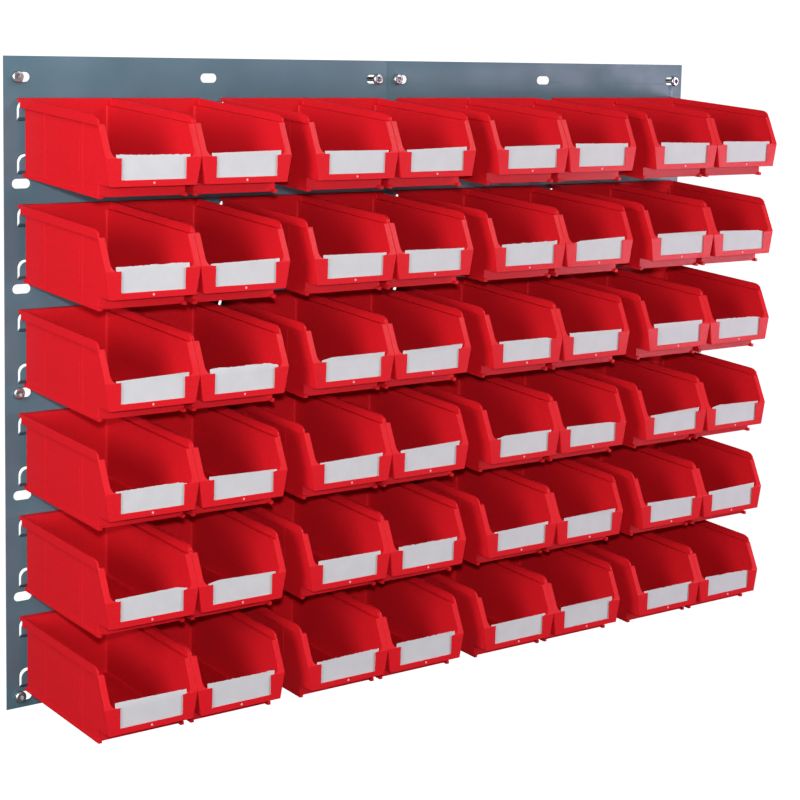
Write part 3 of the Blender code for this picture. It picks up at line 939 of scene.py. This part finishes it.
def add_panels(material):
    low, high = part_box("panel_left")
    left = panel_mesh(material, high.x - low.x, high.z - low.z)
    right = left.copy()
    right.transform(Matrix.Scale(-1, 4, Vector((1, 0, 0))))
    right.flip_normals()
    middle = (low.z + high.z) / 2
    left_sheet = shown("sheet_left", left, (low.x, high.y, middle))
    right_sheet = shown("sheet_right", right, (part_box("panel_right")[1].x, high.y, middle))
    for piece, node in ((left_sheet, "panel_left"), (right_sheet, "panel_right")):
        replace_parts(attach(piece, node), node)


def add_screws(material):
    mesh = screw_mesh(material)
    chance = random.Random(SCREW_SEED)
    for node in sorted(name for name in frame["nodes"] if name.startswith("screw_")):
        low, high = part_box(node)
        location = ((low.x + high.x) / 2, 0, (low.z + high.z) / 2)
        piece = shown(node.replace("screw", "fastener"), mesh, location)
        piece.rotation_euler.y = chance.uniform(0, math.pi)
        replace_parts(attach(piece, node), node)


def add_bins(plastic, paper):
    mesh = bin_mesh(plastic)
    for node in sorted(name for name in frame["nodes"] if name.startswith("bin_")):
        low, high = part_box(node)
        code = node.removeprefix("bin_")
        underside = high.z - BIN_HEIGHT - (BIN_REAR - HOOK_BACK) * BIN_SLOPE
        location = ((low.x + high.x) / 2, high.y + HOOK_BACK, underside)
        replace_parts(attach(shown("shell_" + code, mesh, location), node), node)
        card = shown("card_" + code, card_mesh(paper, random.Random(code)), location)
        attach(card, node)


def add_studio():
    """A wide pale floor that turns up into a backdrop all round."""
    material = studio_material()
    profile = [(0, STUDIO_FLOOR), (STUDIO_RADIUS - STUDIO_SWEEP, STUDIO_FLOOR),
               (STUDIO_RADIUS - STUDIO_TURN, STUDIO_FLOOR + STUDIO_TURN),
               (STUDIO_RADIUS, STUDIO_FLOOR + STUDIO_SWEEP), (STUDIO_RADIUS, STUDIO_TOP)]
    cage = bmesh.new()
    turn_profile(cage, profile)
    upright_axis = Matrix.Rotation(math.radians(90), 4, "X")
    bmesh.ops.transform(cage, matrix=upright_axis, verts=cage.verts)
    mesh = mesh_of(cage, "studio")
    mesh.materials.append(material)
    studio = shown("studio_floor", mesh)
    studio.visible_diffuse = False
    studio.visible_glossy = False
    studio.visible_shadow = False


def add_light(name, heading, height, distance, size, power, aim, colour):
    lamp = bpy.data.lights.new(name, "AREA")
    lamp.shape = "DISK"
    lamp.size = size
    lamp.energy = power
    lamp.color = colour
    turn = Matrix.Rotation(math.radians(heading), 4, "Z") @ Matrix.Rotation(math.radians(-height), 4, "X")
    away = turn @ Vector((0, -distance, 0))
    light = shown(name, lamp, (cad_low + cad_high) / 2 + Vector(aim) + away)
    light.rotation_euler = (-away).to_track_quat("-Z", "Y").to_euler()


def add_world():
    """Soft light that comes mostly off the floor."""
    world = bpy.data.worlds.new("studio")
    world.use_nodes = True
    tree = world.node_tree
    direction = tree.nodes.new("ShaderNodeTexCoord")
    height = tree.nodes.new("ShaderNodeSeparateXYZ")
    tree.links.new(direction.outputs["Generated"], height.inputs[0])
    background = tree.nodes["Background"]
    strength = ranged(tree, height.outputs["Z"], BOUNCE, SKY, *HORIZON)
    tree.links.new(strength, background.inputs["Strength"])
    background.inputs["Color"].default_value = (1.0, 1.0, 1.0, 1.0)
    bpy.context.scene.world = world


def add_camera():
    lens = bpy.data.cameras.new("camera")
    lens.lens = CAMERA_LENS
    lens.shift_y = CAMERA_SHIFT
    camera = shown("camera", lens)
    heading = Matrix.Rotation(-math.radians(CAMERA_HEADING), 4, "Z")
    pitch = Matrix.Rotation(math.radians(90 + CAMERA_PITCH), 4, "X")
    roll = Matrix.Rotation(math.radians(CAMERA_ROLL), 4, "Z")
    camera.matrix_world = Matrix.Translation(CAMERA_PLACE) @ heading @ pitch @ roll
    bpy.context.scene.camera = camera


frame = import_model()
cad_low, cad_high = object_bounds()
add_panels(coated_material())
add_screws(steel_material())
add_bins(plastic_material(), paper_material())
add_studio()
for light in LIGHTS:
    add_light(*light)
add_world()
add_camera()
bpy.context.scene.view_settings.view_transform = "Standard"
